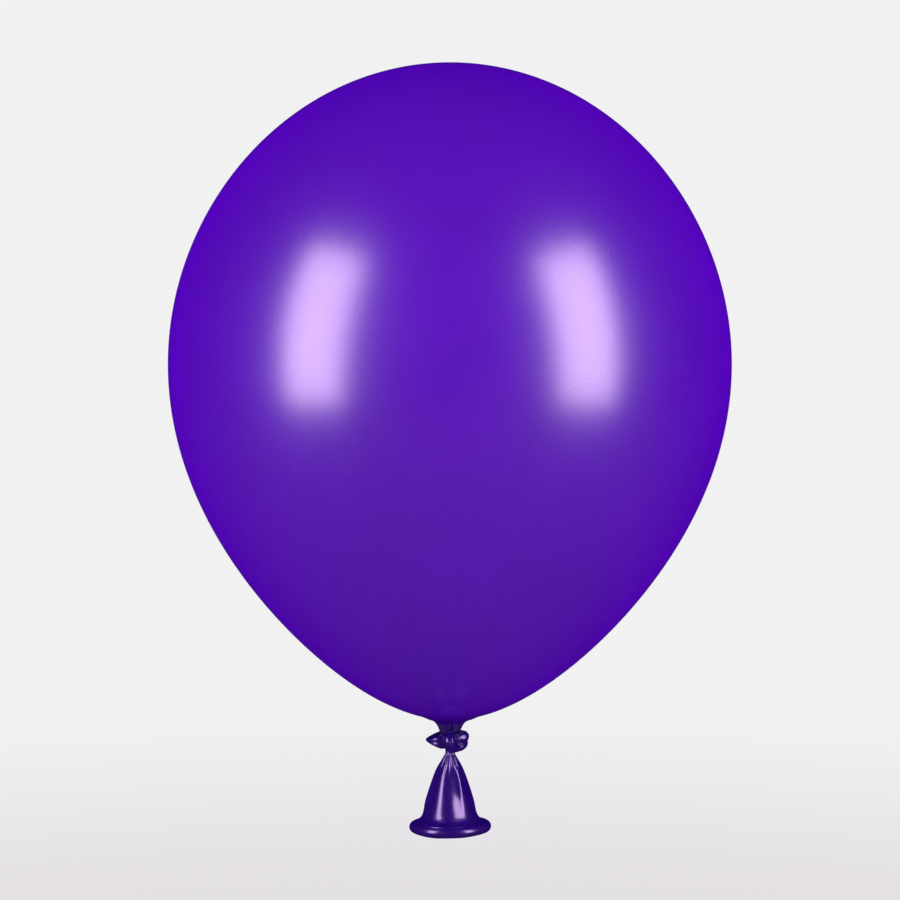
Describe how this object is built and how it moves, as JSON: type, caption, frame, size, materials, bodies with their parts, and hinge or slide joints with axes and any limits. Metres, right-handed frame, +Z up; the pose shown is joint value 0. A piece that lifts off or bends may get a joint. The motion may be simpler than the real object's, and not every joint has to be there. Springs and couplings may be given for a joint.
{
  "type": "latex balloon",
  "caption": "Inflated round latex party balloon with a gathered neck, an overhand knot, a loose flared tail and a rolled lip.",
  "frame": {"origin": "the middle of the pinched neck, between the inflated body and the knot", "axes": "+Z up the balloon's axis to the crown, -Y towards the front, where the knot's pointed side is on the left"},
  "size_m": [0.24, 0.24, 0.3302],
  "materials": {
    "stretched_film": "glossy opaque purple latex film, stretched smooth",
    "slack_film": "glossy dark purple latex, unstretched and folded"
  },
  "bodies": {
    "envelope": {"envelope": "stretched_film"},
    "neck": {"neck_gather": "slack_film"},
    "knot": {"knot_core": "slack_film", "knot_wrap": "slack_film"},
    "tail": {"tail_skirt": "slack_film", "rolled_lip": "slack_film"}
  },
  "joints": [
    {"name": "neck_tilt", "type": "hinge", "parent": "envelope", "child": "neck", "pos_m": [0, 0, 0.0022], "axis": [0, 1, 0], "range_deg": [-30, 30], "stiffness_Nm_per_rad": 0.0006},
    {"name": "neck_twist", "type": "hinge", "parent": "neck", "child": "knot", "pos_m": [0, 0, 0], "axis": [0, 0, 1], "range_deg": [-90, 90], "stiffness_Nm_per_rad": 0.0002},
    {"name": "tail_swing", "type": "hinge", "parent": "knot", "child": "tail", "pos_m": [0, 0, -0.011], "axis": [1, 0, 0], "range_deg": [-45, 45], "stiffness_Nm_per_rad": 0.0003}
  ]
}
